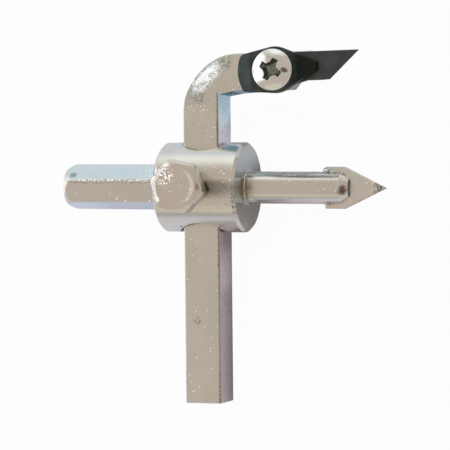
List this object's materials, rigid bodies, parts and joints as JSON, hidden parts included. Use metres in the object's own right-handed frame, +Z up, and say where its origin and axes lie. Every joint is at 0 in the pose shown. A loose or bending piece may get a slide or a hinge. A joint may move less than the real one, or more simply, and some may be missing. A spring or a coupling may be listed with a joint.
{
  "type": "tile circle cutter",
  "caption": "Adjustable circle cutter for tiles: hexagon drive shank, cross-drilled hub, spade-pointed pilot, and a sliding bent arm that carries a clamped blade.",
  "frame": {"origin": "centre of the drive shank's end face, on the tool axis", "axes": "+X along the tool axis towards the pilot's point; +Z up from the ground that the tool lies on, on the clamp bolt's side; +Y towards the arm's bent leg. The tool lies on its hub and its arm's foot, so the arm rises 7.07 degrees towards +Y about the tool axis."},
  "size_m": [0.0893, 0.0937, 0.0305],
  "materials": {
    "zinc_turned": "bright zinc plating over turned steel, glossy, with fine turning lines",
    "zinc_drawn": "bright zinc plating over cold-drawn hexagon bar",
    "zinc_flat": "zinc plating over sheared and ground plate, with dark specks at the point",
    "zinc_bar": "bright zinc plating over drawn square bar, satin, pitted where it is bent",
    "zinc_forged": "bright zinc plating over a forged bolt head",
    "blade_steel": "black hardened tool steel, satin, with its slanted edge ground",
    "black_oxide": "black oxide on pressed steel, oily sheen",
    "bright_screw": "bright nickel plating, polished"
  },
  "bodies": {
    "holder": {"hub": "zinc_turned", "drive_shank": "zinc_drawn", "pilot_rod": "zinc_turned", "pilot_tip": "zinc_flat"},
    "arm": {"arm": "zinc_bar"},
    "clamp_bolt": {"clamp_bolt": "zinc_forged"},
    "blade": {"blade": "blade_steel"},
    "blade_clamp": {"blade_clamp": "black_oxide"},
    "blade_screw": {"blade_screw": "bright_screw"}
  },
  "joints": [
    {"name": "arm_slide", "type": "slide", "parent": "holder", "child": "arm", "axis": [-0.0192, 0.9922, 0.1228], "range_m": [-0.0125, 0.045]},
    {"name": "clamp_bolt_turn", "type": "hinge", "parent": "holder", "child": "clamp_bolt", "pos_m": [0.0374, -0.00165, 0.0133], "axis": [0, -0.1228, 0.9924], "range_deg": [0, 360]},
    {"name": "blade_slide", "type": "slide", "parent": "arm", "child": "blade", "axis": [0.9998, 0.0191, 0.0024], "range_m": [0, 0.0033]},
    {"name": "blade_clamp_swivel", "type": "hinge", "parent": "arm", "child": "blade_clamp", "pos_m": [0.06097, 0.02913, 0.01298], "axis": [0, -0.1228, 0.9924], "range_deg": [-8, 3]},
    {"name": "blade_screw_turn", "type": "hinge", "parent": "arm", "child": "blade_screw", "pos_m": [0.06097, 0.02913, 0.01298], "axis": [0, -0.1228, 0.9924], "range_deg": [0, 360]}
  ]
}
